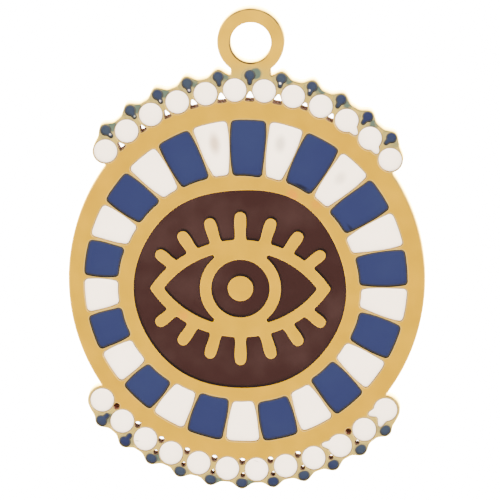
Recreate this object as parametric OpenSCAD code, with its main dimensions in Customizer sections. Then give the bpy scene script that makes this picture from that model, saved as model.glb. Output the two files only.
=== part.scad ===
// Enamelled eye pendant: one cast gold plate with its loop, and the enamel that fills its pockets.
// Millimetres. The back lies on z = 0, the decorated face looks along +Z and the loop is at +Y.
// The origin is below the middle of the whole outline. Places on the face are given from the
// centre of the disc, and angles run counter-clockwise from +X.

/* [Plate] */
// Thickness of the cast plate
plate_t = 2.4; // [1.8:0.1:3]
// Half width of the disc
disc_rx = 18.3; // [18.2:0.05:18.5]
// Half height of the disc
disc_ry = 19.2; // [18.9:0.05:19.4]
// Depth of the enamel pockets
pocket_depth = 0.6; // [0.45:0.05:0.9]

/* [Loop] */
// Radius of the hole in the loop
loop_hole_r = 2.07; // [1.5:0.01:2.4]
// How far the hole lies below the centre of the loop
loop_hole_drop = 0.07; // [0:0.01:0.3]
// Outer radius of the loop
loop_r = 3.47; // [3.1:0.01:3.8]
// Sideways place of the loop
loop_x = 0.45; // [0.2:0.05:0.7]
// Centre of the loop above the centre of the disc
loop_y = 24.63; // [24.4:0.01:25]
// Width of the neck that joins the loop to the plate
neck_w = 4.15; // [3.6:0.05:4.3]

/* [Enamel] */
// How far the enamel lies below the gold face
enamel_sink = 0.15; // [0.05:0.05:0.3]
// Gap between the enamel and the wall of its pocket
side_gap = 0.03; // [0.02:0.01:0.05]

/* [Ring of blocks] */
// Width of the gold between two blocks
wall_w = 0.4; // [0.3:0.02:0.5]
// Rounding of the corners of a block
block_round = 0.4; // [0.2:0.05:0.5]

/* [Rows of dots] */
// Radius of a white dot
white_dot_r = 1.22; // [1.1:0.01:1.24]
// Radius of a blue dot of the upper row
upper_dot_r = 0.52; // [0.45:0.01:0.52]
// Radius of a blue dot of the lower row
blue_dot_r = 0.46; // [0.45:0.01:0.51]
// How much wider than high a blue dot of the lower row is
dot_stretch = 0.2; // [0.05:0.01:0.25]
// Radius of the gold edge round the two end dots of the upper row
upper_end_r = 1.34; // [1.32:0.02:1.6]
// Radius of the gold edge round the two end dots of the lower row
lower_end_r = 1.5; // [1.4:0.02:1.7]
// Radius of the gold edge between two blue dots of the upper row
upper_edge_r = 20.68; // [20.6:0.02:20.9]
// Radius of the gold edge between two blue dots of the lower row
lower_edge_r = 20.75; // [20.6:0.05:20.9]
// Radius of a small pierced hole
small_hole_r = 0.24; // [0.2:0.01:0.25]
// Radius of a pierced hole beside the disc in the lower row
lower_hole_r = 0.31; // [0.25:0.01:0.33]

/* [Eye] */
// Half width of the eye, along the middle of its gold outline
eye_half_w = 8.6; // [8:0.1:8.8]
// Half height of the eye, along the middle of its gold outline
eye_half_h = 4.5; // [4:0.1:4.8]
// Width of the gold lines
line_w = 1.15; // [0.9:0.05:1.3]
// Outer radius of the gold ring round the iris
iris_r = 4.15; // [4.1:0.05:4.4]
// Radius of the gold pupil
pupil_r = 1.3; // [0.9:0.05:1.6]
// Number of rays on each lid
ray_count = 7; // [5:2:9]
// Length of the middle ray, from the middle of the lid's line
ray_len = 2.9; // [2.2:0.1:3.2]

/* [Hidden] */

gold = [0.92, 0.77, 0.47];
white_enamel = [0.95, 0.93, 0.91];
blue_enamel = [0.27, 0.33, 0.51];
teal_enamel = [0.25, 0.38, 0.50];
brown_enamel = [0.34, 0.22, 0.20];

pocket_floor = plate_t - pocket_depth;
enamel_t = pocket_depth - enamel_sink;
$fn = 48; // for every round solid
past = 1; // how far a cutting tool runs past the face that it leaves by

// A row of dots or holes: centre x and y of its arc, radius, first angle, step, number
ROW_X = 0;
ROW_Y = 1;
ROW_R = 2;
ROW_START = 3;
ROW_STEP = 4;
ROW_COUNT = 5;
UPPER_WHITE = [-0.19, 0.54, 19.09, 138.4, -9.07, 12];
LOWER_WHITE = [0.04, -0.84, 19.06, 218.5, 9.05, 12];
UPPER_BLUE = [-0.1, 0.52, 20.65, 133.95, -9.04, 11];
LOWER_BLUE = [0.07, -0.55, 20.73, 223.6, 8.94, 11];
UPPER_RIM = [-0.04, 0.47, 18.53, 133.6, -8.97, 11];
LOWER_RIM = [0, -0.49, 18.55, 223.75, 8.94, 11];
LOWER_SMALL = [0.03, -0.55, 19.93, 223.9, 8.95, 11];

// Pierced holes beside the disc in the upper row, left to right: width at the disc, height,
// and how far the hole sits from its place in the row, in degrees
UPPER_HOLES = [
    [0.83, 0.80, 0.40],
    [0.73, 0.70, 0.40],
    [0.83, 0.80, 0.40],
    [0.98, 0.85, 0.20],
    [1.03, 0.96, 0.05],
    [1.02, 0.95, 0],
    [1.08, 0.96, 0.05],
    [0.91, 0.66, 0.30],
    [0.84, 0.78, 0.20],
];
HOLE_W = 0;
HOLE_H = 1;
HOLE_TURN = 2;
hole_tip_w = 0.16; // width of the outer end of those holes
hole_round = 0.09; // rounding of their corners

// Holes beside the disc that the white enamel has flooded: number of the dot, number and radius
// of the hole
UPPER_FLOODS = [[9, 9, 0.3], [10, 10, 0.3]];
LOWER_FLOODS = [[9, 8, 0.25], [11, 10, 0.25]];
small_lug_r = 0.24; // radius of the flooded small hole, the last one of the lower row
lug_root_r = 0.85; // radius of a flood's root, round the middle of its dot

// Holes of the lower row, by number: beside the disc, open or blocked, and the small ones, open
OPEN_RIM = [1 : 7];
BLOCKED_RIM = [0, 9];
OPEN_SMALL = [2 : 9];
blocked_depth = 1.3;

tail_len = 0.78; // from the middle of a blue dot to the small hole or tail towards the disc
tail_r = 0.2; // radius of the end of that tail
neck_half = 0.28; // half the width of the tail where it leaves its dot
bump_half = 3.7; // half width of the edge's bump over a blue dot, in degrees
LOWER_BUMP = 0.62; // height of the bumps of the lower row
UPPER_BUMP = 0.72; // height of the tallest bump of the upper row
upper_peak = 3.2; // number, along the upper row, where its bumps are tallest
bump_fall = 0.003; // how fast they get lower from there
edge_fillet = 0.12; // rounding of the inner corners of the outline

// The ring of blocks lies between two ellipses: centre x and y, half width, half height
RING_OUT = [-0.09, -0.2, 16.57, 16.73];
RING_IN = [-0.71, -0.94, 12.45, 11.87];
// Gold walls between the blocks: angle at the inner edge, angle at the outer edge, and how far
// the inner edge of the block that follows is moved outwards
WALL_IN = 0;
WALL_OUT = 1;
WALL_STEP = 2;
WALLS = [
    [-3.9, -2.6, -0.15],
    [12.8, 11.7, -0.30],
    [24.0, 26.0, -0.05],
    [41.0, 40.1, 0.10],
    [52.4, 54.1, 0.05],
    [69.7, 68.5, -0.05],
    [80.6, 82.3, -0.15],
    [98.5, 96.2, -0.10],
    [108.8, 110.4, -0.05],
    [125.8, 123.9, 0.05],
    [136.6, 137.5, 0],
    [153.3, 151.4, -0.05],
    [164.9, 165.2, 0.10],
    [180.2, 179.4, 0.05],
    [192.2, 193.0, -0.10],
    [207.4, 206.9, 0.10],
    [220.2, 220.5, 0.10],
    [235.3, 234.5, -0.10],
    [247.2, 247.9, -0.25],
    [262.5, 261.9, 0],
    [273.9, 275.1, 0.20],
    [289.8, 288.8, 0.15],
    [300.9, 302.4, -0.10],
    [317.1, 316.2, 0],
    [328.3, 329.5, 0.10],
    [344.9, 343.7, 0],
];
BLOCKS = len(WALLS);

// The brown field: centre, mean radius, and the waves of its hand-cut edge as number of waves
// round the edge, height of the wave, and angle where the wave is highest, times that number
FIELD = [-0.65, -1.0];
field_r = 10.68;
FIELD_WAVES = [
    [2, 0.26, 4],
    [3, 0.07, 166],
    [4, 0.09, 204],
    [5, 0.04, 293],
    [6, 0.06, 356],
];

lid_r = (eye_half_w ^ 2 + eye_half_h ^ 2) / (2 * eye_half_h); // radius of the two lids
lid_drop = lid_r - eye_half_h; // the centre of each lid's arc, from the middle of the eye
ray_step = 13; // between the roots of two rays, in degrees along the lid
ray_fan = 1.3; // how much more the rays spread than their roots
ray_taper = 0.022; // how much shorter a ray gets for each degree from the middle
corner_round = 0.3; // rounding of the eye's two corners
pool_round = 0.22; // rounding of the corners of the brown pools

upper_reach = loop_y + loop_r;
lower_reach = LOWER_BLUE[ROW_Y] - lower_edge_r - LOWER_BUMP;
disc_y = -(upper_reach + lower_reach) / 2; // brings the middle of the outline to y = 0

function two_digits(n) = str(n < 10 ? "0" : "", n);
function block_name(i) = str(i % 2 == 0 ? "blue" : "white", "_block_", two_digits(floor(i / 2) + 1));

function polar(r, a) = r * [cos(a), sin(a)];

// Place number i of a row, moved outwards by out
function spot(row, i, out = 0) =
    [row[ROW_X], row[ROW_Y]] + polar(row[ROW_R] + out, row[ROW_START] + row[ROW_STEP] * i);

function ellipse(e, grow = 0, n = 72) =
    [for (i = [0 : n - 1]) [
        e[0] + (e[2] + grow) * cos(360 * i / n),
        e[1] + (e[3] + grow) * sin(360 * i / n)
    ]];

// Where the ray at angle a from the centre of the disc meets an ellipse
function ray_to(e, a) =
    let (
        u = [cos(a) / e[2], sin(a) / e[3]],
        v = [e[0] / e[2], e[1] / e[3]],
        reach = (u * v + sqrt((u * v) ^ 2 - (u * u) * (v * v - 1))) / (u * u)
    ) polar(reach, a);

// Outline round two circles, rp at p and rq at q: a stroke with round ends
function stroke(p, q, rp, rq, n = 8) =
    let (
        d = q - p,
        a = atan2(d[1], d[0]),
        spread = acos((rp - rq) / norm(d))
    ) concat(
        [for (i = [0 : n]) p + polar(rp, a + spread + (360 - 2 * spread) * i / n)],
        [for (i = [0 : n]) q + polar(rq, a - spread + 2 * spread * i / n)]
    );

// Outline of a dot at p with a tail that narrows to a round end at q
function tailed_dot(p, q, rp, rq, half, n = 12) =
    let (
        d = q - p,
        a = atan2(d[1], d[0]),
        open = asin(half / rp)
    ) concat(
        [for (i = [0 : n]) p + polar(rp, a + open + (360 - 2 * open) * i / n)],
        [for (i = [0 : 6]) q + polar(rq, a - 90 + 180 * i / 6)]
    );

// Height of the edge's bump at d degrees from a blue dot
function bump(d) = abs(d) < bump_half ? cos(90 * d / bump_half) ^ 2 : 0;

function upper_bump(i) = UPPER_BUMP - bump_fall * (i - upper_peak) ^ 2;

function field_edge(n = 96) =
    [for (i = [0 : n - 1])
        let (a = 360 * i / n)
        polar(field_r + sum_waves(a), a)];

function sum_waves(a, i = 0) =
    i == len(FIELD_WAVES) ? 0
    : let (w = FIELD_WAVES[i]) w[1] * cos(w[0] * a - w[2]) + sum_waves(a, i + 1);

// Rounds the outer corners of a flat shape and then shrinks it all round by gap
module rounded(r, gap = 0) {
    offset(r = r, $fn = 20)
        offset(delta = -r - gap)
            children();
}

// Outline of the plate

// One row of dots as a band from inside the disc to the scalloped edge
module row_band(blue, white, edge_r, end_r, heights) {
    parts = 12; // points from one bump to the next
    over = 4; // points past the first and the last bump
    last = blue[ROW_COUNT] - 1;
    centre = [blue[ROW_X], blue[ROW_Y]];
    inside = 0.8 * edge_r;
    edge = [for (k = [-over : parts * last + over])
        let (
            nearest = min(last, max(0, round(k / parts))),
            off = (k / parts - nearest) * blue[ROW_STEP],
            r = edge_r + heights[nearest] * bump(off)
        ) centre + polar(r, blue[ROW_START] + blue[ROW_STEP] * k / parts)];
    back = [for (k = [last : -1 : 0]) centre + polar(inside, blue[ROW_START] + blue[ROW_STEP] * k)];
    polygon(concat(edge, back));
    for (end = [0, 1])
        polygon(stroke(
            spot(white, end * (last + 1)), spot(blue, end * last), end_r, blue_dot_r, 24));
}

module plate_outline() {
    upper = [for (i = [0 : UPPER_BLUE[ROW_COUNT] - 1]) upper_bump(i)];
    lower = [for (i = [0 : LOWER_BLUE[ROW_COUNT] - 1]) LOWER_BUMP];
    offset(r = -edge_fillet, $fn = 20)
        offset(delta = edge_fillet) {
            polygon(ellipse([0, 0, disc_rx, disc_ry], 0, 144));
            row_band(UPPER_BLUE, UPPER_WHITE, upper_edge_r, upper_end_r, upper);
            row_band(LOWER_BLUE, LOWER_WHITE, lower_edge_r, lower_end_r, lower);
            translate([loop_x, loop_y])
                circle(r = loop_r, $fn = 72);
            translate([loop_x - neck_w / 2, upper_edge_r - 1])
                square([neck_w, loop_y - upper_edge_r - 1]);
        }
}

// Pierced holes

module upper_rim_hole(i) {
    hole = UPPER_HOLES[i];
    place = i + hole[HOLE_TURN] / UPPER_RIM[ROW_STEP];
    base = hole[HOLE_W] / 2;
    tip = hole_tip_w / 2;
    end = hole[HOLE_H] / 2;
    translate(spot(UPPER_RIM, place))
        rotate(UPPER_RIM[ROW_START] + UPPER_RIM[ROW_STEP] * place)
            rounded(hole_round)
                polygon([[-end, -base], [end, -tip], [end, tip], [-end, base]]);
}

module pierced_holes() {
    linear_extrude(plate_t + 2 * past)
        for (i = [0 : len(UPPER_HOLES) - 1])
            upper_rim_hole(i);
    for (i = OPEN_RIM)
        translate(spot(LOWER_RIM, i))
            cylinder(r = lower_hole_r, h = plate_t + 2 * past);
    for (i = OPEN_SMALL)
        translate(spot(LOWER_SMALL, i))
            cylinder(r = small_hole_r, h = plate_t + 2 * past);
}

module blocked_holes() {
    for (i = BLOCKED_RIM)
        translate(concat(spot(LOWER_RIM, i), plate_t - blocked_depth))
            cylinder(r = lower_hole_r, h = blocked_depth + past);
}

// Flat shapes of the enamel: gap is 0 for the pocket and side_gap for the enamel in it

module block_shape(i, gap = 0) {
    reach = 1.5; // how far the side lines run past the ring
    ends = [for (w = [WALLS[i], WALLS[(i + 1) % BLOCKS]])
        let (
            p = ray_to(RING_IN, w[WALL_IN]),
            q = ray_to(RING_OUT, w[WALL_OUT]),
            along = reach * (q - p) / norm(q - p)
        ) [p - along, q + along]];
    rounded(block_round, gap + wall_w / 2)
        intersection() {
            difference() {
                polygon(ellipse(RING_OUT, wall_w / 2));
                polygon(ellipse(RING_IN, WALLS[i][WALL_STEP] - wall_w / 2));
            }
            polygon([ends[0][0], ends[0][1], ends[1][1], ends[1][0]]);
        }
}

// The almond of the eye, moved out or in from the middle of its gold outline
module lens(grow) {
    rounded(corner_round, -grow)
        intersection_for (side = [-1, 1])
            translate([0, side * lid_drop])
                circle(r = lid_r, $fn = 144);
}

// Ray number i of the upper lid
module lid_ray(i) {
    from_middle = ray_step * (i - (ray_count - 1) / 2);
    root = [0, -lid_drop] + polar(lid_r, 90 - from_middle);
    long = ray_len - ray_taper * abs(from_middle);
    polygon(stroke(root, root + polar(long, 90 - ray_fan * from_middle), line_w / 2, line_w / 2));
}

module eye_lines() {
    lens(line_w / 2);
    for (lid = [0, 1])
        mirror([0, lid])
            for (i = [0 : ray_count - 1])
                lid_ray(i);
}

module field_shape(gap = 0) {
    translate(FIELD)
        rounded(pool_round, gap)
            difference() {
                polygon(field_edge());
                eye_lines();
            }
}

module eye_corner_shape(side, gap = 0) {
    translate(FIELD)
        rounded(pool_round, gap)
            intersection() {
                difference() {
                    lens(-line_w / 2);
                    circle(r = iris_r, $fn = 72);
                }
                translate([side * eye_half_w, 0])
                    square(2 * eye_half_w, center = true);
            }
}

module iris_shape(gap = 0) {
    translate(FIELD)
        offset(delta = -gap)
            difference() {
                circle(r = iris_r - line_w, $fn = 64);
                circle(r = pupil_r, $fn = 40);
            }
}

// Solids of the dots, also as cutting tools

module flood_lug(white, rim, flood, height, gap) {
    linear_extrude(height)
        polygon(stroke(
            spot(rim, flood[1]), spot(white, flood[0]),
            flood[2] - gap, lug_root_r - gap));
}

module white_dots(white, rim, floods, height, gap = 0) {
    for (i = [0 : white[ROW_COUNT] - 1])
        translate(spot(white, i))
            cylinder(r = white_dot_r - gap, h = height);
    for (flood = floods)
        flood_lug(white, rim, flood, height, gap);
}

// The last white dot of the lower row has also run into the small hole beside it
module small_flood(height, gap = 0) {
    linear_extrude(height)
        polygon(stroke(
            spot(LOWER_BLUE, LOWER_BLUE[ROW_COUNT] - 1, -tail_len),
            spot(LOWER_WHITE, LOWER_WHITE[ROW_COUNT] - 1),
            small_lug_r - gap, lug_root_r - gap));
}

module upper_blue(height, gap = 0) {
    linear_extrude(height)
        for (i = [0 : UPPER_BLUE[ROW_COUNT] - 1])
            polygon(tailed_dot(
                spot(UPPER_BLUE, i), spot(UPPER_BLUE, i, -tail_len),
                upper_dot_r - gap, tail_r - gap, neck_half - gap));
}

module lower_blue(height, gap = 0) {
    half = dot_stretch / 2 / LOWER_BLUE[ROW_R] * 180 / PI / LOWER_BLUE[ROW_STEP];
    linear_extrude(height) {
        for (i = [0 : LOWER_BLUE[ROW_COUNT] - 1])
            polygon(stroke(
                spot(LOWER_BLUE, i - half), spot(LOWER_BLUE, i + half),
                blue_dot_r - gap, blue_dot_r - gap, 14));
        for (i = [0, 1])
            polygon(stroke(
                spot(LOWER_BLUE, i), spot(LOWER_BLUE, i, -tail_len),
                small_hole_r - gap, small_hole_r - gap));
    }
}

// The pieces

module on_floor() {
    translate([0, disc_y, pocket_floor])
        children();
}

module enamel(shade) {
    color(shade)
        on_floor()
            linear_extrude(enamel_t)
                children();
}

module plate() {
    deep = pocket_depth + past;
    color(gold)
        difference() {
            translate([0, disc_y, 0])
                linear_extrude(plate_t)
                    plate_outline();
            on_floor() {
                linear_extrude(deep) {
                    field_shape();
                    for (side = [-1, 1])
                        eye_corner_shape(side);
                    iris_shape();
                    for (i = [0 : BLOCKS - 1])
                        block_shape(i);
                }
                white_dots(UPPER_WHITE, UPPER_RIM, UPPER_FLOODS, deep);
                white_dots(LOWER_WHITE, LOWER_RIM, LOWER_FLOODS, deep);
                small_flood(deep);
                upper_blue(deep);
                lower_blue(deep);
            }
            translate([0, disc_y, 0])
                blocked_holes();
            translate([0, disc_y, -past])
                pierced_holes();
            translate([loop_x, disc_y + loop_y - loop_hole_drop, -past])
                cylinder(r = loop_hole_r, h = plate_t + 2 * past);
        }
}

module brown_field() {
    enamel(brown_enamel) field_shape(side_gap);
}

module eye_corner(side) {
    enamel(brown_enamel) eye_corner_shape(side, side_gap);
}

module iris() {
    enamel(brown_enamel) iris_shape(side_gap);
}

module block(i) {
    enamel(i % 2 == 0 ? blue_enamel : white_enamel) block_shape(i, side_gap);
}

module upper_white_dots() {
    color(white_enamel)
        on_floor()
            white_dots(UPPER_WHITE, UPPER_RIM, UPPER_FLOODS, enamel_t, side_gap);
}

module lower_white_dots() {
    color(white_enamel)
        on_floor() {
            white_dots(LOWER_WHITE, LOWER_RIM, LOWER_FLOODS, enamel_t, side_gap);
            small_flood(enamel_t, side_gap);
        }
}

module upper_blue_dots() {
    color(teal_enamel)
        on_floor()
            upper_blue(enamel_t, side_gap);
}

module lower_blue_dots() {
    color(teal_enamel)
        on_floor()
            lower_blue(enamel_t, side_gap);
}

plate();
brown_field();
eye_corner(-1);  // eye_corner_left
eye_corner(1);  // eye_corner_right
iris();
for (i = [0 : BLOCKS - 1])
    block(i);
upper_white_dots();
lower_white_dots();
upper_blue_dots();
lower_blue_dots();
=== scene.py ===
import math

import bpy
import numpy as np
from bpy.props import FloatProperty, FloatVectorProperty, PointerProperty
from mathutils import Euler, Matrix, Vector
from mathutils.geometry import delaunay_2d_cdt
from mathutils.kdtree import KDTree


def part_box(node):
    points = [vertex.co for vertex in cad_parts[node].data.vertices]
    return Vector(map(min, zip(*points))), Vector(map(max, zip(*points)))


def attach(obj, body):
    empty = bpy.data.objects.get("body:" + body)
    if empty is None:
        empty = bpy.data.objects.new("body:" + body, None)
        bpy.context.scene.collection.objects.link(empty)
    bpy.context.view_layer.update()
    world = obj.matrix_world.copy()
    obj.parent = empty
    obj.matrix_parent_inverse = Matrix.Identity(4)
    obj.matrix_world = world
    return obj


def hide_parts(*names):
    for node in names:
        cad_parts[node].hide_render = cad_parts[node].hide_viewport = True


bl_info = {
    "name": "Enamelled Eye Pendant",
    "version": (1, 0, 0),
    "blender": (4, 5, 0),
    "location": "3D View > Sidebar > Pendant",
    "description": "Dresses the eye pendant: polished gold plate, poured enamel, light table",
    "category": "Add Mesh",
}

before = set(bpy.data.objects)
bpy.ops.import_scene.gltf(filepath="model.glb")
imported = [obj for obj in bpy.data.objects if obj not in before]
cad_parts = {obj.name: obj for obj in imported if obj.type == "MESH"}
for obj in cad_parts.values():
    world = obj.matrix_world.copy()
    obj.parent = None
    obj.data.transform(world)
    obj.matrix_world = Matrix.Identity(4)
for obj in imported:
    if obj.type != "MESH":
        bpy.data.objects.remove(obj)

MM = 0.001
PLATE_LOW, PLATE_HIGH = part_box("plate")

# Heights over the back, in mm
FACE_Z = PLATE_HIGH.z / MM
ENAMEL_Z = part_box("iris")[1].z / MM
POCKET_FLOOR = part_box("iris")[0].z / MM
BLIND_FLOOR = FACE_Z - 1.3

# Lengths in mm: the rounding of the back's edges, the gap round an enamel solid that the poured
# enamel fills, and the width of the painted highlight, a brighter strip of gold, along an edge
BACK_ROUND = 0.08
SIDE_GAP = 0.03
HIGHLIGHT_WIDTH = 0.1

# Towards the loop and a little to the right. The walls that face this way are the ones that show,
# and the painted shade and painted lines at the walls are laid by it
SHOWN_WAY = np.array([0.5, 0.87])

BLUE_BLOCKS = sorted(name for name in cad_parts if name.startswith("blue_block"))
WHITE_BLOCKS = sorted(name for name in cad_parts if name.startswith("white_block"))
BROWN_POOLS = ["brown_field", "eye_corner_left", "eye_corner_right", "iris"]
WHITE_ROWS = ["upper_white_dots", "lower_white_dots"]
BLUE_ROWS = ["upper_blue_dots", "lower_blue_dots"]

# The kinds of enamel, by the nodes that are made of it
KINDS = {
    "blue": BLUE_BLOCKS,
    "dots": BLUE_ROWS,
    "white": WHITE_BLOCKS + WHITE_ROWS,
    "brown": BROWN_POOLS,
}

# Enamel smeared onto the gold beside the blue dots, one line a dot from left to right:
# how far it is right of and above the dot, its radius, and how strong it is
UPPER_SMEARS = [
    (0.60, 0.50, 0.85, 1.10),
    (0.68, 0.33, 0.85, 1.10),
    (0.72, 0.33, 0.85, 1.10),
    (0.68, 0.20, 0.80, 1.00),
    (0.70, 0.10, 0.80, 0.90),
    (0.60, 0.40, 0.95, 1.20),
    (0.68, 0.05, 0.85, 1.00),
    (0.80, -0.20, 0.90, 1.10),
    (0.70, -0.35, 0.85, 1.00),
    (0.65, -0.60, 0.85, 1.00),
    (0.40, -0.50, 0.80, 0.80),
]
LOWER_SMEARS = [
    (0.70, 0.10, 0.90, 1.00),
    (0.60, -0.05, 0.90, 0.80),
    (0.75, 0.15, 0.90, 1.00),
    (0.50, -0.05, 0.85, 0.70),
    (0.80, 0.05, 0.95, 0.95),
    (0.80, 0.00, 0.95, 1.00),
    (0.50, 0.00, 0.85, 0.70),
    (0.50, 0.10, 0.85, 0.75),
    (0.45, 0.05, 0.85, 0.70),
    (0.45, 0.20, 0.85, 0.75),
    (-0.50, 0.20, 0.85, 0.70),
]
# The thin ring of smeared enamel close round each dot of the upper and of the lower row, as one
# line of the tables above, and the most that it covers the gold
HALOES = [(0.05, 0.08, 1.20, 2.6), (0.0, 0.0, 0.95, 1.8)]
HALO_MOST = 0.6
# A spot is at its full strength up to 1 - 1 / SPOT_FALL of its radius
SPOT_FALL = 1.6

# How strong the painted highlight on the gold along an edge is, by what the edge is beside
HIGHLIGHTS = {
    "outline": 0.4,
    "loop": 0.2,
    "hole": 0.5,
    "blind": 0.4,
    "blue": 0.9,
    "dots": 1.0,
    "white": 0.8,
    "brown": 0.1,
}

# The rows of a rounded edge, as degrees from the upright wall to the level face, and how much
# painted shade, partly dirt, there is on each, by what the edge is beside
TURNS = (0, 25, 50, 75, 90)
SHADE_AND_DIRT = {
    "hole": (1.0, 1.0, 0.9, 0.6, 0.2),
    "blind": (1.0, 1.0, 0.9, 0.6, 0.2),
    "blue": (1.0, 1.0, 1.0, 0.9, 0.3),
    "dots": (1.0, 1.0, 1.0, 0.9, 0.25),
    "white": (0.95, 0.95, 0.9, 0.8, 0.35),
    "brown": (0.9, 0.3, 0.0, 0.0, 0.0),
}
# How much more of the painted shade there is on the walls that show beside brown enamel, and the
# share of the painted shade and dirt that is missing from those beside white enamel
BROWN_SHOWN = (0.0, 0.6, 0.6, 0.0, 0.0)
WHITE_SHOWN = 0.8
# How dark the painted shade line along an edge is where the wall doesn't show, and how much darker
# where it does
SHADE_LINES = {"outline": (0.12, 0.55), "loop": (0.2, 0.8)}
# How rusty the blocked holes are, and how dark the painted shade beside brown enamel is
BLIND_RUST = 0.7
BROWN_EDGE_SHADE = 0.8

# Colours of the painted shade and dirt: dark painted shade down the small holes, light and dark
# grains, and painted glints. Then by the mark that shows them, in the order in which they are laid
# over these: painted shade beside each kind of enamel, and rust
HOLE_RIM_SHADE = (0.05, 0.033, 0.022)
LIGHT_GRAIN = (0.52, 0.37, 0.30)
DARK_GRAIN = (0.13, 0.095, 0.077)
PAINTED_GLINT = (1.0, 0.88, 0.76)
SHADE_AND_DIRT_COLOURS = {
    # Painted shade on the gold beside the brown, blue, dotted and white enamel
    "ink": (0.005, 0.003, 0.003),
    "ash": (0.014, 0.014, 0.013),
    "teal": (0.020, 0.025, 0.029),
    "bronze": (0.050, 0.032, 0.018),
    "rust": (0.45, 0.25, 0.18),
}

# Tints of the gold: round the rows, stained, in its painted highlight, in the painted shade at the
# top and the painted reflection at the foot of its sides, in the painted reflection along the edges of
# its back, in the painted shade line along the edges of its face, and of its gloss
ROWS_TINT = (0.66, 0.53, 0.12)
STAIN_TINT = (0.9, 0.30, 0.0)
HIGHLIGHT_TINT = (1.0, 0.74, 0.22)
SIDE_TOP_SHADE = (0.25, 0.15, 0.0)
SIDE_FOOT_REFLECTION = (1.0, 0.9, 0.6)
BACK_EDGE_REFLECTION = (1.0, 1.0, 1.0)
SHADE_LINE_TINT = (0.05, 0.035, 0.045)
GLOSS_TINT = (1.0, 0.75, 0.2, 1.0)
# The ellipse of the disc, with the rows outside it: its middle, half width and half height in mm
DISC = (-0.1, -3.23, 18.25, 18.5)
# The gold grows lighter up the loop's neck, and down the sides as a painted reflection of the white
# sheet: where that starts and ends, in mm from the plate's middle and over its back
NECK = (17.0, 20.0)
SIDES = (2.2, 0.4)

# Orange stains on the gold face: place across and up from the plate's middle, radius, strength
STAINS = [
    (4.60, 5.60, 0.9, 0.8),
    (7.15, 4.70, 0.7, 0.6),
    (-6.60, -6.90, 0.8, 0.5),
]

# Flaws of the enamels, and painted glints on the blue dots: place, half width, half height and turn
# of an ellipse, colour, strength
BLOCK_FLAWS = [
    ((-3.28, 10.95, 0.85, 1.65, 8.0), (0.40, 0.31, 0.23), 0.85),
    ((3.46, 10.95, 0.85, 1.35, -5.0), (0.45, 0.41, 0.37), 0.75),
    ((9.60, 7.40, 0.85, 1.10, -35.0), (0.50, 0.45, 0.40), 0.60),
]
BLUE_FLAWS = [
    ((5.62, 6.50, 1.15, 0.30, -24.0), (0.002, 0.003, 0.012), 0.9),
    ((10.70, 2.16, 0.90, 0.25, -50.0), (0.002, 0.003, 0.012), 0.7),
]
WHITE_DOT_FLAWS = [
    ((-11.31, -20.05, 0.34, 0.08, -5.0), (0.10, 0.09, 0.08), 0.8),
    ((0.94, -22.10, 0.45, 0.07, -20.0), (0.35, 0.32, 0.30), 0.6),
]
# Painted glints at the tails of the blue dots
BLUE_DOT_GLINTS = [
    ((-13.97, 11.85, 0.16, 0.16), (0.45, 0.45, 0.50), 0.9),
    ((-11.45, 13.75, 0.17, 0.17), (0.30, 0.33, 0.30), 0.8),
    ((-8.88, 15.33, 0.19, 0.19), (0.60, 0.54, 0.60), 0.95),
    ((-5.90, 16.46, 0.19, 0.19), (0.50, 0.44, 0.58), 0.95),
    ((3.44, 17.23, 0.19, 0.15, -20.0), (0.95, 0.95, 0.95), 1.0),
    ((6.41, 16.52, 0.21, 0.17), (0.70, 0.66, 0.66), 0.9),
]

# The enamels. haze: the colour of their clouds. Then the colour of the dark seam at the foot of a
# wall, partly painted shade, and how far it reaches in mm; and the same for the painted shade
# beside the walls that show, where the enamel dips
ENAMELS = {
    "brown_enamel": {
        "haze": (0.020, 0.009, 0.009),
        "seam_shade": ((0.008, 0.002, 0.002), 0.03),
        "shade": ((0.002, 0.0, 0.0), 0.30),
    },
    "blue_enamel": {
        "haze": (0.009, 0.014, 0.052),
        "seam_shade": ((0.014, 0.014, 0.014), 0.22),
        "shade": ((0.003, 0.005, 0.016), 0.18),
        "flaws_and_glints": BLUE_FLAWS,
    },
    "white_block_enamel": {
        "haze": (0.98, 0.90, 0.82),
        "seam_shade": ((0.20, 0.14, 0.09), 0.05),
        "shade": ((0.85, 0.75, 0.65), 0.12),
        "flaws_and_glints": BLOCK_FLAWS,
    },
    "white_dot_enamel": {
        "haze": (0.98, 0.90, 0.83),
        "seam_shade": ((0.20, 0.14, 0.09), 0.05),
        "shade": ((0.85, 0.75, 0.65), 0.12),
        "flaws_and_glints": WHITE_DOT_FLAWS,
    },
    "blue_dot_enamel": {
        "haze": (0.008, 0.012, 0.045),
        "seam_shade": ((0.024, 0.027, 0.028), 0.14),
        "shade": ((0.012, 0.017, 0.030), 0.12),
        "flaws_and_glints": BLUE_DOT_GLINTS,
    },
}
# Where the painted shade is full, as a share of its reach, where the dark seam, partly painted
# shade, is full in mm, and how strongly the enamel bends light
SHADE_FULL = 0.4
SEAM_FULL = 0.01
ENAMEL_IOR = 1.33


class PendantSizes(bpy.types.PropertyGroup):
    """Sizes of the finish on the real pendant."""

    edge_round: FloatProperty(
        name="Outer edge",
        description="Rounding of the edges of the outline and of the loop",
        default=0.10 * MM,
        unit="LENGTH",
    )
    pocket_round: FloatProperty(
        name="Pocket edge",
        description="Rounding of the gold beside the enamel and round the small holes",
        default=0.08 * MM,
        unit="LENGTH",
    )
    pool_round: FloatProperty(
        name="Pool edge",
        description="Rounding of the gold beside the brown enamel",
        default=0.03 * MM,
        unit="LENGTH",
    )
    outline_step: FloatProperty(
        name="Outline step",
        description="Distance between points along an outline",
        default=0.12 * MM,
        unit="LENGTH",
    )
    creep: FloatProperty(
        name="Creep",
        description="How far the enamel climbs its walls",
        default=0.02 * MM,
        unit="LENGTH",
    )
    creep_reach: FloatProperty(
        name="Creep reach",
        description="How far from its wall the enamel has flattened out",
        default=0.35 * MM,
        unit="LENGTH",
    )


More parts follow.
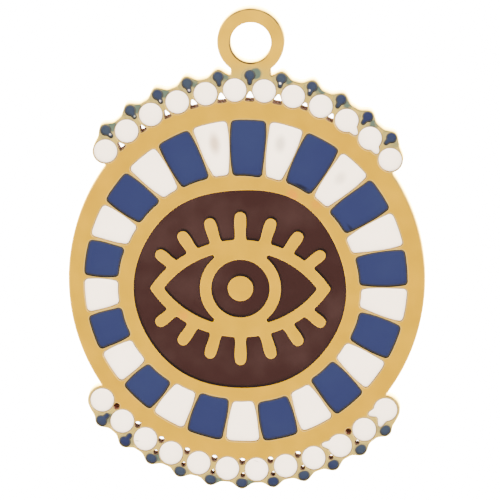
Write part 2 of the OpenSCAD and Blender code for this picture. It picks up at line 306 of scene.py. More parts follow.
class PendantColours(bpy.types.PropertyGroup):
    """Colours of the metal and the enamels."""

    gold: FloatVectorProperty(
        name="Gold",
        description="Polished gold plating",
        subtype="COLOR",
        default=(0.75, 0.445, 0.0),
    )
    smear: FloatVectorProperty(
        name="Smear",
        description="Blue enamel smeared on the gold",
        subtype="COLOR",
        default=(0.042, 0.070, 0.061),
    )
    white: FloatVectorProperty(
        name="White",
        description="White enamel",
        subtype="COLOR",
        default=(0.93, 0.85, 0.77),
    )
    blue: FloatVectorProperty(
        name="Blue",
        description="Blue enamel of the blocks",
        subtype="COLOR",
        default=(0.008, 0.012, 0.050),
    )
    dots: FloatVectorProperty(
        name="Dots",
        description="Blue enamel of the small dots",
        subtype="COLOR",
        default=(0.0165, 0.0255, 0.045),
    )
    brown: FloatVectorProperty(
        name="Brown",
        description="Brown enamel",
        subtype="COLOR",
        default=(0.013, 0.004, 0.004),
    )


# Shader maths

# The colour sockets of a Mix node, by number
MIX_LOW, MIX_HIGH, MIX_RESULT = 6, 7, 2


class Value:
    """A socket whose number can be used in sums, products and powers."""

    def __init__(self, nodes, socket):
        self.nodes = nodes
        self.socket = socket

    def maths(self, operation, *values, clamp=False):
        settings = {"operation": operation, "use_clamp": clamp}
        return self.nodes.add("ShaderNodeMath", settings, dict(enumerate(values)))

    def __add__(self, other):
        return self.maths("ADD", self, other)

    __radd__ = __add__

    def __sub__(self, other):
        return self.maths("SUBTRACT", self, other)

    def __rsub__(self, other):
        return self.maths("SUBTRACT", other, self)

    def __mul__(self, other):
        return self.maths("MULTIPLY", self, other)

    def __truediv__(self, other):
        return self.maths("DIVIDE", self, other)

    def __pow__(self, other):
        return self.maths("POWER", self, other)

    def clamp(self):
        return self.maths("ADD", self, 0.0, clamp=True)

    def out(self, name):
        """Another output of the node that this number comes from."""
        return Value(self.nodes, self.socket.node.outputs[name])

    def ramp(self, low, high):
        """0 below low, 1 above high and smooth between them. low may be the larger one."""
        settings = {"interpolation_type": "SMOOTHSTEP"}
        if low > high:
            return 1.0 - self.ramp(high, low)
        return self.nodes.add(
            "ShaderNodeMapRange", settings, {"Value": self, "From Min": low, "From Max": high}
        )


class Nodes:
    """The nodes of one material or world."""

    def __init__(self, tree):
        self.tree = tree
        tree.nodes.clear()

    def add(self, kind, settings, inputs, output=0):
        """Adds a node, sets it up, gives its sockets their values or links, and returns one output."""
        node = self.tree.nodes.new(kind)
        for name, value in settings.items():
            setattr(node, name, value)
        for name, value in inputs.items():
            if isinstance(value, Value):
                self.tree.links.new(value.socket, node.inputs[name])
            else:
                node.inputs[name].default_value = value
        return Value(self, node.outputs[output]) if node.outputs else None

    def mix(self, factor, low, high):
        """Mixes two colours. Either may be a plain colour or a Value."""
        low, high = (c if isinstance(c, Value) else (*c, 1.0) for c in (low, high))
        inputs = {"Factor": factor, MIX_LOW: low, MIX_HIGH: high}
        return self.add("ShaderNodeMix", {"data_type": "RGBA"}, inputs, MIX_RESULT)

    def mark(self, name):
        """A number that the mesh carries at each of its points."""
        return self.add("ShaderNodeAttribute", {"attribute_name": name}, {}, "Fac")

    def place(self):
        """The point of the surface, in metres in the pendant's own frame."""
        return self.add("ShaderNodeTexCoord", {}, {}, "Object")

    def noise(self, size, detail, seed):
        """Soft noise from 0 to 1 with features of about size mm."""
        settings = {"noise_dimensions": "4D"}
        inputs = {"Vector": self.place(), "W": seed, "Scale": 1 / (size * MM), "Detail": detail}
        return self.add("ShaderNodeTexNoise", settings, inputs)

    def blob(self, x, y, half_width, half_height, turn=0.0):
        """Distance from a point of the face, 1 on an ellipse round it. Lengths in mm."""
        c, s = math.cos(math.radians(turn)), math.sin(math.radians(turn))
        split = self.add("ShaderNodeSeparateXYZ", {}, {0: self.place()})
        across = split - x * MM
        up = split.out("Y") - y * MM
        u = (across * c + up * s) / (half_width * MM)
        v = (up * c - across * s) / (half_height * MM)
        return (u * u + v * v) ** 0.5

    def bump(self, height, distance):
        """A normal for a surface whose height goes up by a distance in mm for each 1 of height."""
        inputs = {"Height": height, "Distance": distance * MM, "Strength": 1.0}
        return self.add("ShaderNodeBump", {}, inputs)

    def principled(self, **inputs):
        """The Principled shader, with socket names written with _ for a space."""
        names = {name.replace("_", " "): value for name, value in inputs.items()}
        return self.add("ShaderNodeBsdfPrincipled", {}, names)

    def surface(self, shader):
        self.add("ShaderNodeOutputMaterial", {}, {"Surface": shader})


def material(name):
    """An empty material and the nodes to fill it."""
    made = bpy.data.materials.new(name)
    made.use_nodes = True
    return made, Nodes(made.node_tree)


def gold_material(colours):
    """Polished plating with painted highlights and reflections, dull and dark with painted shade and
    dirt down the small holes and at its edges, and smeared enamel.
    """
    made, nodes = material("gold_plating")
    warm = nodes.noise(size=9.0, detail=3.0, seed=1.0).ramp(0.35, 0.7)
    cloud = nodes.noise(size=2.2, detail=4.0, seed=2.0)
    grain = nodes.noise(size=0.12, detail=3.0, seed=4.0)
    patchy = nodes.noise(size=1.6, detail=2.0, seed=8.0).ramp(0.35, 0.65) * 0.5 + 0.5
    smudge = nodes.noise(size=0.5, detail=3.0, seed=3.0) * 0.8 + 0.6
    # Painted glints down the small holes
    glint = nodes.noise(size=0.2, detail=1.0, seed=9.0).ramp(0.62, 0.70) * 0.6
    split = nodes.add("ShaderNodeSeparateXYZ", {}, {0: nodes.place()})
    rows = nodes.blob(*DISC).ramp(1.0, 1.04)
    loop = split.out("Y").ramp(NECK[0] * MM, NECK[1] * MM)
    down = split.out("Z").ramp(SIDES[0] * MM, SIDES[1] * MM)
    stain = nodes.mark("stain") * (cloud.ramp(0.3, 0.7) * 0.7 + 0.3)
    line = (nodes.mark("line") * patchy * (loop + 1.0)).clamp()
    smear = (nodes.mark("smear") * smudge).clamp()
    back = nodes.mark("back")

    gold = tuple(colours.gold)
    orange = (gold[0], gold[1] * 0.9, gold[2])
    light = tuple(c * 1.18 for c in gold)
    base = nodes.mix(warm * 0.35 + cloud * 0.2, gold, orange)
    base = nodes.mix(rows * 0.85, base, ROWS_TINT)
    base = nodes.mix(loop * 0.9, base, light)
    base = nodes.mix(stain, base, STAIN_TINT)
    # Painted highlight: the gold is lighter along the edges of its face
    base = nodes.mix(nodes.mark("polish") * 0.8, base, HIGHLIGHT_TINT)
    # Painted reflection of the white sheet: sides lighter towards the foot, back edges white
    base = nodes.mix(nodes.mark("side"), base, nodes.mix(down, SIDE_TOP_SHADE, SIDE_FOOT_REFLECTION))
    base = nodes.mix(nodes.mark("foot"), base, BACK_EDGE_REFLECTION)
    # Painted shade line along the edges of the face
    base = nodes.mix(line, base, SHADE_LINE_TINT)
    base = nodes.mix(smear, base, tuple(colours.smear))
    plating = nodes.principled(
        Base_Color=base,
        Metallic=(1.0 - smear * 0.9).clamp(),
        Roughness=(0.28 + cloud * 0.10 + back * 0.12 - smear * 0.1).clamp(),
        Specular_Tint=GLOSS_TINT,
        Normal=nodes.bump(grain * (0.4 + back) + cloud * 2.0, 0.004),
    )

    # Painted shade, partly dirt, down the small holes and on the edges beside the enamel
    dull = nodes.mix(grain.ramp(0.35, 0.65), LIGHT_GRAIN, DARK_GRAIN)
    dull = nodes.mix(glint, dull, PAINTED_GLINT)
    dull = nodes.mix(nodes.mark("deep"), HOLE_RIM_SHADE, dull)
    for mark, colour in SHADE_AND_DIRT_COLOURS.items():
        dull = nodes.mix(nodes.mark(mark), dull, colour)
    shade_and_dirt_surface = nodes.principled(Base_Color=dull, Roughness=0.9, Specular_IOR_Level=0.0)
    inputs = {0: nodes.mark("grime"), 1: plating, 2: shade_and_dirt_surface}
    nodes.surface(nodes.add("ShaderNodeMixShader", {}, inputs))
    return made


def enamel_material(name, colour, haze, seam_shade, shade, flaws_and_glints=()):
    """Glossy enamel, clouded with a haze, with a dark seam and painted shade beside its walls, and
    with flaws and painted glints in it.

    The seam and the painted shade: each a colour and how far from the wall it reaches. The flaws and
    painted glints: ellipse, colour, strength.
    """
    made, nodes = material(name)
    base = nodes.mix(nodes.noise(size=5.0, detail=3.0, seed=7.0).ramp(0.40, 0.72), colour, haze)
    # Flaws, and on the blue dots painted glints
    for ellipse, tint, strength in flaws_and_glints:
        base = nodes.mix(nodes.blob(*ellipse).ramp(1.0, 0.15) * strength, base, tint)
    # Painted shade beside the walls that show, where the enamel dips, then the dark seam, partly
    # painted shade
    wall = nodes.mark("wall")
    tint, reach = shade
    base = nodes.mix(wall.ramp(reach, reach * SHADE_FULL) * nodes.mark("facing"), base, tint)
    tint, reach = seam_shade
    edge = wall.ramp(reach, SEAM_FULL)
    base = nodes.mix(edge, base, tint)
    cloud = nodes.noise(size=1.8, detail=3.0, seed=5.0)
    shader = nodes.principled(
        Base_Color=base,
        Roughness=0.12 + cloud * 0.08 + edge * 0.2,
        IOR=ENAMEL_IOR,
        Normal=nodes.bump(nodes.noise(size=3.0, detail=1.0, seed=6.0), 0.02),
    )
    nodes.surface(shader)
    return made


# Outlines, as closed rows of points in mm with the region they bound on their left

# How near to a height a point is on it, and how near to another point it is the same, in mm
SAME = 0.001
# An outline turns a sharp corner where it bends by more degrees than this
SHARP = 40.0
# A row of points beside an outline keeps those that lie at this share of its distance, or more
OWN_SIDE = 0.93
# How far apart the rows of a staggered grid are, by the distance between its points
ROW_SHARE = 0.87


def flat_outlines(name, height):
    """Outlines of a node's flat faces at a height, which are on the left, seen from outside."""
    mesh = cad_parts[name].data
    mesh.calc_loop_triangles()
    corners = np.empty(len(mesh.vertices) * 3)
    mesh.vertices.foreach_get("co", corners)
    corners = np.round(corners.reshape(-1, 3) / MM, 4)
    triangles = np.empty(len(mesh.loop_triangles) * 3, dtype=int)
    mesh.loop_triangles.foreach_get("vertices", triangles)
    points, welded = np.unique(corners, axis=0, return_inverse=True)
    triangles = welded.reshape(-1)[triangles].reshape(-1, 3)
    flat = np.all(np.abs(points[triangles][:, :, 2] - height) < SAME, axis=1)
    ahead = {}
    edges = {(t[i], t[i - 2]) for t in triangles[flat] for i in range(3)}
    for start, end in edges:
        if (end, start) not in edges:
            ahead[start] = end
    outlines = []
    while ahead:
        start, here = ahead.popitem()
        row = [start]
        while here != start:
            row.append(here)
            here = ahead.pop(here)
        outlines.append(points[row][:, :2])
    return sorted(outlines, key=lambda o: tuple(o.mean(axis=0)))


def unit(vectors):
    """The vectors, each made 1 long."""
    return vectors / np.maximum(np.linalg.norm(vectors, axis=1, keepdims=True), 1e-9)


def left_of(vectors):
    """The vectors, each turned a quarter to the left."""
    return np.stack([-vectors[:, 1], vectors[:, 0]], axis=1)


def smooth(outline, step):
    """Draws a smooth curve through an outline's points, except at its sharp corners."""
    ahead = np.roll(outline, -1, axis=0) - outline
    behind = np.roll(ahead, 1, axis=0)
    bend = np.sum(unit(ahead) * unit(behind), axis=1) < math.cos(math.radians(SHARP))
    reach = np.linalg.norm(ahead, axis=1, keepdims=True)
    shared = unit(unit(ahead) * np.roll(reach, 1, axis=0) + unit(behind) * reach)
    leave = np.where(bend[:, None], unit(ahead), shared)
    arrive = np.roll(np.where(bend[:, None], unit(behind), shared), -1, axis=0)
    curve = []
    for start, edge, out, into in zip(outline, ahead, leave, arrive):
        length = np.linalg.norm(edge)
        count = max(1, math.ceil(length / step))
        t = (np.arange(count) / count)[:, None]
        curve.append(
            start
            + edge * (3 * t**2 - 2 * t**3)
            + out * length * (t**3 - 2 * t**2 + t)
            + into * length * (t**3 - t**2)
        )
    return np.concatenate(curve)


def lefts(outline):
    """Sum of the two directions to the left of the edges that meet at each point."""
    ahead = left_of(unit(np.roll(outline, -1, axis=0) - outline))
    return ahead + np.roll(ahead, 1, axis=0)


def offset(outline, distance):
    """Moves an outline to its left by a distance, one for all points or one for each."""
    both = lefts(outline)
    size = np.maximum(np.sum(both**2, axis=1, keepdims=True), 1.0)
    return outline + both * 2 / size * np.reshape(distance, (-1, 1))


def facing(outline):
    """How far the wall along an outline is one that shows, where its left is solid."""
    return np.clip(-unit(lefts(outline)) @ SHOWN_WAY, 0, 1)


def edge_distance(points, starts, ends):
    """Distance from each point to an edge of its own."""
    edges = ends - starts
    along = np.sum((points - starts) * edges, axis=1) / np.maximum(np.sum(edges**2, axis=1), 1e-12)
    foot = starts + edges * np.clip(along, 0, 1)[:, None]
    return np.linalg.norm(points - foot, axis=1)


def nearest(points, targets):
    """The number of the nearest target to each point, and how far it is."""
    tree = KDTree(len(targets))
    for index, (x, y) in enumerate(targets):
        tree.insert((x, y, 0.0), index)
    tree.balance()
    found = [tree.find((x, y, 0.0))[1:] for x, y in points]
    return np.array([f[0] for f in found], dtype=int), np.array([f[1] for f in found])


def wall_distance(points, outlines):
    """Distance from each point to the nearest of the outlines."""
    here = np.concatenate(outlines)
    ahead = np.concatenate([np.roll(o, -1, axis=0) for o in outlines])
    behind = np.concatenate([np.roll(o, 1, axis=0) for o in outlines])
    near = nearest(points, here)[0]
    return np.minimum(
        edge_distance(points, here[near], ahead[near]), edge_distance(points, behind[near], here[near])
    )


def clearances(outlines, reach):
    """For each point of each outline, the distance to the nearest other outline, or reach."""
    owners = [number for number, outline in enumerate(outlines) for _ in outline]
    tree = KDTree(len(owners))
    for index, (x, y) in enumerate(np.concatenate(outlines)):
        tree.insert((x, y, 0.0), index)
    tree.balance()
    made = []
    for number, outline in enumerate(outlines):
        free = []
        for x, y in outline:
            near = tree.find_range((x, y, 0.0), reach)
            free.append(min((far for _, i, far in near if owners[i] != number), default=reach))
        made.append(np.array(free))
    return made


def evened(values, reach=2):
    """Evens out a row of numbers round an outline, raising none of them."""
    turns = range(-reach, reach + 1)
    low = np.min([np.roll(values, turn) for turn in turns], axis=0)
    return np.mean([np.roll(low, turn) for turn in turns], axis=0)


def inside(points, outlines):
    """Whether each point has the outlines round it an odd number of times."""
    order = np.argsort(points[:, 1])
    x, y = points[order].T
    starts = np.concatenate(outlines)
    ends = np.concatenate([np.roll(o, -1, axis=0) for o in outlines])
    rising = starts[:, 1] < ends[:, 1]
    low = np.where(rising[:, None], starts, ends)
    high = np.where(rising[:, None], ends, starts)
    first = np.searchsorted(y, low[:, 1])
    last = np.searchsorted(y, high[:, 1])
    crossed = np.zeros(len(points), dtype=int)
    for i in np.flatnonzero(last > first):
        span = slice(first[i], last[i])
        slope = (high[i, 0] - low[i, 0]) / (high[i, 1] - low[i, 1])
        crossed[span] += low[i, 0] + (y[span] - low[i, 1]) * slope > x[span]
    odd = np.empty(len(points), dtype=bool)
    odd[order] = crossed % 2 == 1
    return odd


def grid(outlines, step, clear):
    """Points of a staggered grid inside the outlines, clear of them by a distance."""
    low = np.min([o.min(axis=0) for o in outlines], axis=0)
    high = np.max([o.max(axis=0) for o in outlines], axis=0)
    rows = np.arange(low[1], high[1], step * ROW_SHARE)
    columns = np.arange(low[0], high[0], step)
    points = np.array([(x + step / 2 * (k % 2), y) for k, y in enumerate(rows) for x in columns])
    points = points[inside(points, outlines)]
    return points[wall_distance(points, outlines) > clear]


def fill(outlines, loose=()):
    """Triangulates the region between outlines. Returns its points and triangles."""
    points = np.concatenate([*outlines, *([loose] if len(loose) else [])])
    edges = []
    start = 0
    for outline in outlines:
        count = len(outline)
        edges += [(start + i, start + (i + 1) % count) for i in range(count)]
        start += count
    made = delaunay_2d_cdt([Vector(p) for p in points], edges, [], 0, 1e-7, False)
    corners = np.array([tuple(p) for p in made[0]])
    faces = np.array([f for f in made[2] if len(f) == 3])
    kept = inside(corners[faces].mean(axis=1), outlines)
    return corners, faces[kept]


class Skin:
    """The points and faces of a piece while it is being made, in mm."""

    def __init__(self):
        self.points = []
        self.faces = []
        self.flat = []
        self.marks = []

    def row(self, outline, heights, **marks):
        """Adds points at one height or one each, and returns their numbers. marks are likewise."""
        first, count = len(self.points), len(outline)
        levels = np.broadcast_to(heights, count)
        self.points += [(x, y, z) for (x, y), z in zip(outline, levels)]
        for name, value in marks.items():
            self.marks.append((name, first, np.broadcast_to(value, count)))
        return range(first, first + count)

    def strip(self, low, high):
        """Joins two closed rows of the same number of points with a strip of quads."""
        count = len(low)
        for i in range(count):
            j = (i + 1) % count
            self.faces.append((low[i], low[j], high[j], high[i]))
            self.flat.append(False)

    def sheet(self, corners, faces, heights, flat=True, looks_up=True, **marks):
        """Adds triangles at one height, or at a height for each point."""
        first = self.row(corners, heights, **marks)[0]
        for a, b, c in faces:
            turned = (a, b, c) if looks_up else (a, c, b)
            self.faces.append(tuple(int(first + k) for k in turned))
            self.flat.append(flat)

    def make(self, name):
        """Makes the object, with its marks as attributes of its points."""
        mesh = bpy.data.meshes.new(name)
        mesh.from_pydata((np.array(self.points) * MM).tolist(), [], self.faces)
        mesh.polygons.foreach_set("use_smooth", [not f for f in self.flat])
        numbers = {}
        for mark, first, values in self.marks:
            every = numbers.setdefault(mark, np.zeros(len(self.points), dtype=np.float32))
            every[first : first + len(values)] = values
        for mark, values in numbers.items():
            mesh.attributes.new(mark, "FLOAT", "POINT").data.foreach_set("value", values)
        mesh.update()
        made = bpy.data.objects.new(name, mesh)
        bpy.context.scene.collection.objects.link(made)
        return made


def dress(made, node, surface):
    """Puts a finished piece in the place of its CAD node."""
    made.data.materials.append(surface)
    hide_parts(node)
    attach(made, "root")


# The gold plate

# Of the walls that go right through, those wider than this in mm are the plate's own outline and
# the loop's hole. The others are the small holes
OUTLINE_WIDTH = 20
LOOP_WIDTH = 3
# The rows of the back's rounded edge, as degrees from the upright wall to the level back, and the
# turn from which the rows of the face's edge get the painted highlight and are smeared
BACK_TURNS = (90, 60, 30, 0)
FACE_TURN = 75
# A rounding takes up to this share of the gold to the next wall, which is looked for so far, in mm
ROUND_SHARE = 0.4
WALL_REACH = 0.4
# The points on the face, in mm: how far apart they are, and how far from a wall
FACE_STEP = 0.16
FACE_CLEAR = 0.13


def dot_smears():
    """Where enamel has been smeared beside and close round the dots: two tables of spots."""
    patches, rings = [], []
    for row, table, halo in zip(BLUE_ROWS, (UPPER_SMEARS, LOWER_SMEARS), HALOES):
        for dot, patch in zip(flat_outlines(row, ENAMEL_Z), table):
            x, y = (dot.min(axis=0) + dot.max(axis=0)) / 2
            for made, (right, above, radius, strength) in ((patches, patch), (rings, halo)):
                made.append((x + right, y + above, radius, strength))
    return patches, rings


def spots(points, table):
    """How strongly each point is covered by the spots of a table: most in a spot's middle."""
    strongest = np.zeros(len(points))
    for x, y, radius, strength in table:
        far = np.hypot(points[:, 0] - x, points[:, 1] - y) / radius
        near = np.clip(SPOT_FALL - far * SPOT_FALL, 0, 1)
        strongest = np.maximum(strongest, strength * near * near * (3 - 2 * near))
    return strongest


def smeared(points, smears):
    """How strongly each point is smeared with blue enamel."""
    patches, rings = smears
    return np.maximum(spots(points, patches), np.minimum(spots(points, rings), HALO_MOST))


def corners_of(outline):
    """The lowest and the highest corner of the box round an outline, as four numbers."""
    return np.concatenate([outline.min(axis=0), outline.max(axis=0)])


def sort_pockets(pockets):
    """The kind of enamel in each pocket."""
    pools = [
        (kind, corners_of(outline))
        for kind, names in KINDS.items()
        for name in names
        for outline in flat_outlines(name, ENAMEL_Z)
    ]
    return [min(pools, key=lambda pool: np.sum(np.abs(pool[1] - corners_of(o))))[0] for o in pockets]


def edge_marks(kind, turn, shown):
    """Marks of one row of an edge, by what it is beside, its turn and how far its wall shows."""
    upright = turn == 0
    # Along the outline and the loop: a painted shade line, darker where the wall shows
    if kind in SHADE_LINES:
        least, more = SHADE_LINES[kind]
        return {"side": upright, "line": (least + more * shown) * (not upright)}
    number = TURNS.index(turn)
    # The dull dark gold of each row is painted shade, partly dirt
    grime = SHADE_AND_DIRT[kind][number]
    if kind == "hole":
        return {"grime": grime, "deep": upright}
    if kind == "blind":
        return {"grime": grime, "deep": upright, "rust": BLIND_RUST * upright}
    # Beside the enamel the painted shade takes a tint of its own for each kind
    if kind == "blue":
        return {"grime": grime, "ash": 1.0}
    if kind == "dots":
        return {"grime": grime, "teal": 1.0}
    if kind == "white":
        return {"grime": grime * (1 - WHITE_SHOWN * shown), "bronze": 1.0}
    return {"grime": grime + BROWN_SHOWN[number] * shown, "ink": BROWN_EDGE_SHADE}


def rounding(wall, radius, turns):
    """Rows of a rounded edge: each one's turn, its outline and how far it is below the flat."""
    for turn in turns:
        c, s = math.cos(math.radians(turn)), math.sin(math.radians(turn))
        yield turn, offset(wall, radius * (1 - c)), radius * (1 - s)


def plate_walls(step):
    """The plate's walls as outlines, what each is beside, and the height of its foot."""
    low, high = (np.array(corner[:2]) / MM for corner in (PLATE_LOW, PLATE_HIGH))
    through = [np.clip(smooth(o[::-1], step), low, high) for o in flat_outlines("plate", 0.0)]
    pockets, blind = (
        [smooth(o[::-1], step) for o in flat_outlines("plate", level)]
        for level in (POCKET_FLOOR, BLIND_FLOOR)
    )
    wide = [np.ptp(o[:, 0]) for o in through]
    kinds = ["outline" if w > OUTLINE_WIDTH else "loop" if w > LOOP_WIDTH else "hole" for w in wide]
    kinds += sort_pockets(pockets) + ["blind"] * len(blind)
    levels = [0.0] * len(through) + [POCKET_FLOOR] * len(pockets) + [BLIND_FLOOR] * len(blind)
    return through + pockets + blind, kinds, levels


def add_foot(skin, wall, kind, marks):
    """Adds the rounded edge of the back. Returns its row on the back and the points of its last."""
    back, last = None, None
    for turn, row, rise in rounding(wall, BACK_ROUND, BACK_TURNS):
        # The back's edges, but not in the small holes, get a painted reflection of the white sheet
        here = skin.row(row, rise, back=turn == 90, foot=kind != "hole", **marks)
        if last is None:
            back = row
        else:
            skin.strip(last, here)
        last = here
    return back, last


def add_face(skin, face, kinds, marks, smears):
    """Adds the face between its outlines. marks: for each outline, those of its points."""
    loose = grid(face, FACE_STEP, FACE_CLEAR)
    spotted = np.maximum(smeared(loose, smears), spots(loose, STAINS)) > 0
    rim = np.concatenate([offset(row, HIGHLIGHT_WIDTH) for row in face])
    rim = rim[wall_distance(rim, face) > HIGHLIGHT_WIDTH * OWN_SIDE]
    corners, faces = fill(face, np.concatenate([loose[spotted], rim]))
    near, far = nearest(corners, np.concatenate(face))
    highlight = np.concatenate([np.full(len(row), HIGHLIGHTS[kind]) for row, kind in zip(face, kinds)])
    edge = {}
    for name in sorted({name for own in marks for name in own}):
        each = [np.broadcast_to(own.get(name, 0.0), len(row)) for own, row in zip(marks, face)]
        edge[name] = np.concatenate(each)[near] * (far < SAME)
    # The gold close to its edges is painted lighter, a painted highlight
    skin.sheet(
        corners,
        faces,
        FACE_Z,
        smear=smeared(corners, smears),
        stain=spots(corners, STAINS),
        polish=np.clip(1 - far / HIGHLIGHT_WIDTH, 0, 1) * highlight[near],
        **edge,
    )


def make_plate(sizes, colours):
    """The plate, from the edges of its back up the walls to the face, then the floors and the back."""
    rounds = {"outline": sizes.edge_round, "loop": sizes.edge_round, "brown": sizes.pool_round}
    skin = Skin()
    walls, kinds, levels = plate_walls(sizes.outline_step / MM)
    smears = dot_smears()
    face, face_marks, back = [], [], []
    for wall, kind, level, free in zip(walls, kinds, levels, clearances(walls, WALL_REACH)):
        shown = facing(wall)
        marks = edge_marks(kind, 0, shown)
        if level == 0.0:
            row, last = add_foot(skin, wall, kind, marks)
            back.append(row)
        else:
            last = skin.row(wall, level, **marks)
        radius = np.minimum(rounds.get(kind, sizes.pocket_round) / MM, free * ROUND_SHARE)
        for turn, row, drop in rounding(wall, evened(radius), TURNS):
            marks = edge_marks(kind, turn, shown)
            on_face = turn >= FACE_TURN
            # Painted highlight on the rows that lie on the face
            polish = HIGHLIGHTS[kind] * on_face
            smear = smeared(row, smears) * on_face
            here = skin.row(row, FACE_Z - drop, **marks, polish=polish, smear=smear)
            skin.strip(last, here)
            last = here
        face.append(row)
        face_marks.append(marks)
    # The floors get painted shade and dirt, and the blocked ones rust
    for height in (POCKET_FLOOR, BLIND_FLOOR):
        floors = [wall for wall, level in zip(walls, levels) if level == height]
        skin.sheet(*fill(floors), height, grime=1.0, deep=1.0, rust=BLIND_RUST)
    add_face(skin, face, kinds, face_marks, smears)
    skin.sheet(*fill(back), 0.0, looks_up=False, back=1.0)
    dress(skin.make("gold_plate"), "plate", gold_material(colours))


# The enamel

# How far apart the points on the enamel are in mm, on most pieces and on the small blue dots
SPACING = 0.3
DOT_SPACING = 0.15
# Where the rows of points on the enamel's slope are, by its reach from the wall
SLOPE_ROWS = (0.1, 0.22, 0.38, 0.6, 0.85)


def make_enamel(name, surface, sizes, spacing):
    """Enamel poured into its pocket: flat in the middle, climbing a little up its walls."""
    step, creep, reach = sizes.outline_step / MM, sizes.creep / MM, sizes.creep_reach / MM
    walls = [offset(smooth(o, step), -SIDE_GAP) for o in flat_outlines(name, ENAMEL_Z)]
    rows = [grid(walls, spacing, reach)]
    for share in SLOPE_ROWS:
        row = np.concatenate([offset(wall, reach * share) for wall in walls])
        rows.append(row[wall_distance(row, walls) > reach * share * OWN_SIDE])
    loose = np.concatenate(rows)
    corners, faces = fill(walls, loose[inside(loose, walls)])
    away = wall_distance(corners, walls)
    near = np.clip(1 - away / reach, 0, 1)
    shown = np.concatenate([facing(wall[::-1])[::-1] for wall in walls])
    skin = Skin()
    # The marks wall and facing place the dark seam and the painted shade
    skin.sheet(
        corners,
        faces,
        ENAMEL_Z + creep * near**3,
        flat=False,
        wall=away,
        facing=shown[nearest(corners, np.concatenate(walls))[0]] ** 2,
    )
    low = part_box(name)[0].z / MM
    for wall in walls:
        skin.strip(skin.row(wall, low), skin.row(wall, ENAMEL_Z + creep))
    corners, faces = fill(walls)
    skin.sheet(corners, faces, low, looks_up=False)
    dress(skin.make(name + "_enamel"), name, surface)


def pour(names, enamel, colour, sizes, spacing=SPACING):
    """Makes the enamel of some nodes, all of one material."""
    surface = enamel_material(enamel, tuple(colour), **ENAMELS[enamel])
    for name in names:
        make_enamel(name, surface, sizes, spacing)


# The stage

# The light all round: how far its axis leans from straight up, away from the loop, its strength
# round that axis and below, and its colour
LEAN = math.radians(10.0)
LIGHT_ABOVE = 1.1
LIGHT_RING = 11.0
LIGHT_COLOUR = (1.0, 0.88, 0.74, 1.0)
# Where the light changes, as the part of a direction that goes up that axis, or towards the loop:
# first where the change starts, then where it is complete. And the share of the light that is lost
# low down, on the loop's side, and low down as gloss mirrors it
RING = (0.94, 0.80)
LOW, LOW_LOSS = (0.30, 0.05), 0.6
LOOP_SIDE, LOOP_SIDE_LOSS = (0.15, 0.5), 0.95
MIRRORED, MIRRORED_LOSS = (0.75, 0.60), 0.85

# The white sheet: radius in m, corners, how far it is below the back in mm, its light, and the
# colour of that light on the pendant
SHEET_RADIUS = 0.22
SHEET_CORNERS = 96
SHEET_DROP = 0.02
SHEET_LIGHT = 18.0
SHEET_GLOW = (0.35, 0.31, 0.26)

# The camera: its turn in degrees, lens and sensor in mm, and in mm the width that it sees and the
# place on the face in the middle of that
CAMERA_TURN = (-9.93, 2.21, -0.11)
LENS, SENSOR = 1500.0, 36.0
SEEN_WIDTH = 51.25
SEEN_MIDDLE = (0.342, -0.069)


def make_world():
    """A warm soft box all round, dimmer straight above, low down and on the loop's side."""
    world = bpy.data.worlds.new("studio")
    bpy.context.scene.world = world
    world.use_nodes = True
    nodes = Nodes(world.node_tree)
    way = nodes.add("ShaderNodeTexCoord", {}, {}).out("Generated")
    split = nodes.add("ShaderNodeSeparateXYZ", {}, {0: way})
    path = nodes.add("ShaderNodeLightPath", {}, {})
    upright = split.out("Z") * math.cos(LEAN) - split.out("Y") * math.sin(LEAN)
    low = upright.ramp(*LOW)
    loop_side = split.out("Y").ramp(*LOOP_SIDE)
    mirrored = path.out("Is Glossy Ray") * upright.ramp(*MIRRORED) * (1.0 - loop_side)
    strength = LIGHT_ABOVE + upright.ramp(*RING) * (LIGHT_RING - LIGHT_ABOVE)
    strength = strength * (1.0 - loop_side * LOOP_SIDE_LOSS) * (1.0 - low * LOW_LOSS)
    strength = strength * (1.0 - mirrored * MIRRORED_LOSS)
    light = nodes.add("ShaderNodeBackground", {}, {"Color": LIGHT_COLOUR, "Strength": strength})
    nodes.add("ShaderNodeOutputWorld", {}, {"Surface": light})


def make_floor():
    """The white sheet under the pendant, bright enough to leave no shadow."""
    mesh = bpy.data.meshes.new("white_sheet")
    turns = [2 * math.pi * i / SHEET_CORNERS for i in range(SHEET_CORNERS)]
    rim = [(SHEET_RADIUS * math.cos(turn), SHEET_RADIUS * math.sin(turn)) for turn in turns]
    mesh.from_pydata([(x, y, -SHEET_DROP * MM) for x, y in rim], [], [range(SHEET_CORNERS)])
    floor = bpy.data.objects.new("white_sheet", mesh)
    bpy.context.scene.collection.objects.link(floor)
    made, nodes = material("white_sheet")
    path = nodes.add("ShaderNodeLightPath", {}, {})
    seen = (path.out("Is Camera Ray") + path.out("Is Glossy Ray")).clamp()
    shader = nodes.principled(
        Base_Color=(0.8, 0.8, 0.8, 1.0),
        Roughness=0.9,
        Emission_Color=nodes.mix(seen, SHEET_GLOW, (1.0, 1.0, 1.0)),
        Emission_Strength=SHEET_LIGHT,
    )
    nodes.surface(shader)
    mesh.materials.append(made)


def make_camera():
    """Looks down at the photograph's angle: from the loop's side, and a little from the right."""
    turn = Euler([math.radians(angle) for angle in CAMERA_TURN])
    back = turn.to_matrix().col[2]
    data = bpy.data.cameras.new("camera")
    data.lens = LENS
    data.sensor_width = SENSOR
    data.clip_start = 0.01
    data.clip_end = 20.0
    camera = bpy.data.objects.new("camera", data)
    middle = Vector((*SEEN_MIDDLE, FACE_Z)) * MM
    camera.location = middle + back * (SEEN_WIDTH * MM * LENS / SENSOR)
    camera.rotation_euler = turn
    bpy.context.scene.collection.objects.link(camera)
    bpy.context.scene.camera = camera


# Operators and panel


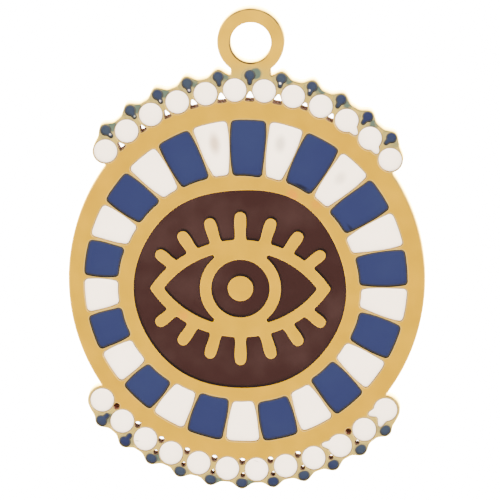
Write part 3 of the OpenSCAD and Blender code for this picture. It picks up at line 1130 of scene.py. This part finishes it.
class PENDANT_OT_stage(bpy.types.Operator):
    """Make the floor, the light and the camera"""

    bl_idname = "pendant.stage"
    bl_label = "Stage"

    def execute(self, context):
        make_world()
        make_floor()
        make_camera()
        return {"FINISHED"}


class PENDANT_OT_plate(bpy.types.Operator):
    """Make the gold plate with its rounded edges"""

    bl_idname = "pendant.plate"
    bl_label = "Gold plate"

    def execute(self, context):
        make_plate(context.scene.pendant_sizes, context.scene.pendant_colours)
        return {"FINISHED"}


class PENDANT_OT_brown_pools(bpy.types.Operator):
    """Make the brown enamel of the eye"""

    bl_idname = "pendant.brown_pools"
    bl_label = "Brown pools"

    def execute(self, context):
        sizes, colours = context.scene.pendant_sizes, context.scene.pendant_colours
        pour(BROWN_POOLS, "brown_enamel", colours.brown, sizes)
        return {"FINISHED"}


class PENDANT_OT_blocks(bpy.types.Operator):
    """Make the blue and the white blocks of the ring"""

    bl_idname = "pendant.blocks"
    bl_label = "Blocks"

    def execute(self, context):
        sizes, colours = context.scene.pendant_sizes, context.scene.pendant_colours
        pour(BLUE_BLOCKS, "blue_enamel", colours.blue, sizes)
        pour(WHITE_BLOCKS, "white_block_enamel", colours.white, sizes)
        return {"FINISHED"}


class PENDANT_OT_rows(bpy.types.Operator):
    """Make the white and the blue dots of the two rows"""

    bl_idname = "pendant.rows"
    bl_label = "Rows of dots"

    def execute(self, context):
        sizes, colours = context.scene.pendant_sizes, context.scene.pendant_colours
        pour(WHITE_ROWS, "white_dot_enamel", colours.white, sizes)
        pour(BLUE_ROWS, "blue_dot_enamel", colours.dots, sizes, DOT_SPACING)
        return {"FINISHED"}


class PENDANT_PT_panel(bpy.types.Panel):
    """Lists the pieces of the pendant"""

    bl_idname = "PENDANT_PT_panel"
    bl_label = "Eye pendant"
    bl_space_type = "VIEW_3D"
    bl_region_type = "UI"
    bl_category = "Pendant"

    def draw(self, context):
        for group in (context.scene.pendant_sizes, context.scene.pendant_colours):
            box = self.layout.box()
            for name in group.__annotations__:
                box.prop(group, name)
        for operator in OPERATORS:
            self.layout.operator(operator.bl_idname)


OPERATORS = (
    PENDANT_OT_stage,
    PENDANT_OT_plate,
    PENDANT_OT_brown_pools,
    PENDANT_OT_blocks,
    PENDANT_OT_rows,
)
CLASSES = (PendantSizes, PendantColours, *OPERATORS, PENDANT_PT_panel)


def register():
    for cls in CLASSES:
        bpy.utils.register_class(cls)
    bpy.types.Scene.pendant_sizes = PointerProperty(type=PendantSizes)
    bpy.types.Scene.pendant_colours = PointerProperty(type=PendantColours)


def unregister():
    del bpy.types.Scene.pendant_colours
    del bpy.types.Scene.pendant_sizes
    for cls in reversed(CLASSES):
        bpy.utils.unregister_class(cls)


def main():
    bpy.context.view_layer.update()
    register()
    bpy.ops.pendant.stage()
    bpy.ops.pendant.plate()
    bpy.ops.pendant.brown_pools()
    bpy.ops.pendant.blocks()
    bpy.ops.pendant.rows()
    bpy.context.view_layer.update()


if __name__ == "__main__":
    main()
